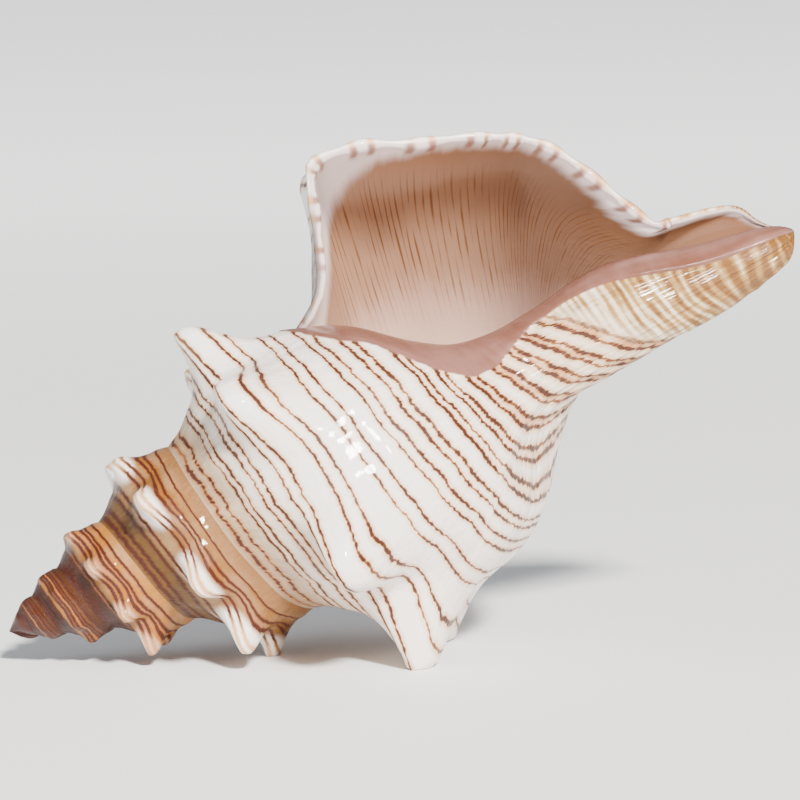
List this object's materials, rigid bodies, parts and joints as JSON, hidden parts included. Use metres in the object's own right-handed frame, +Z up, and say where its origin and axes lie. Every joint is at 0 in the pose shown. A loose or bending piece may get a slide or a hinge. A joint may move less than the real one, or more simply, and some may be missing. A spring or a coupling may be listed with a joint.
{
  "type": "conch shell",
  "caption": "Spiral sea snail shell with a knobbed spire, flared outer lip, wide aperture and open canal, lying on its shoulder knobs.",
  "frame": {"origin": "centre of the bounding box's bottom face, on the surface the shell lies on", "axes": "+Z up as the shell lies on its knobs, +X towards the canal tip (the long side), the aperture faces -Y"},
  "size_m": [0.1348, 0.0818, 0.0888],
  "materials": {
    "shell_surface": "polished glossy shell: white with fine paired red-brown spiral lines, orange to dark brown towards the apex, pinkish tan and smooth inside the aperture"
  },
  "bodies": {
    "root": {"shell": "shell_surface"}
  },
  "joints": []
}
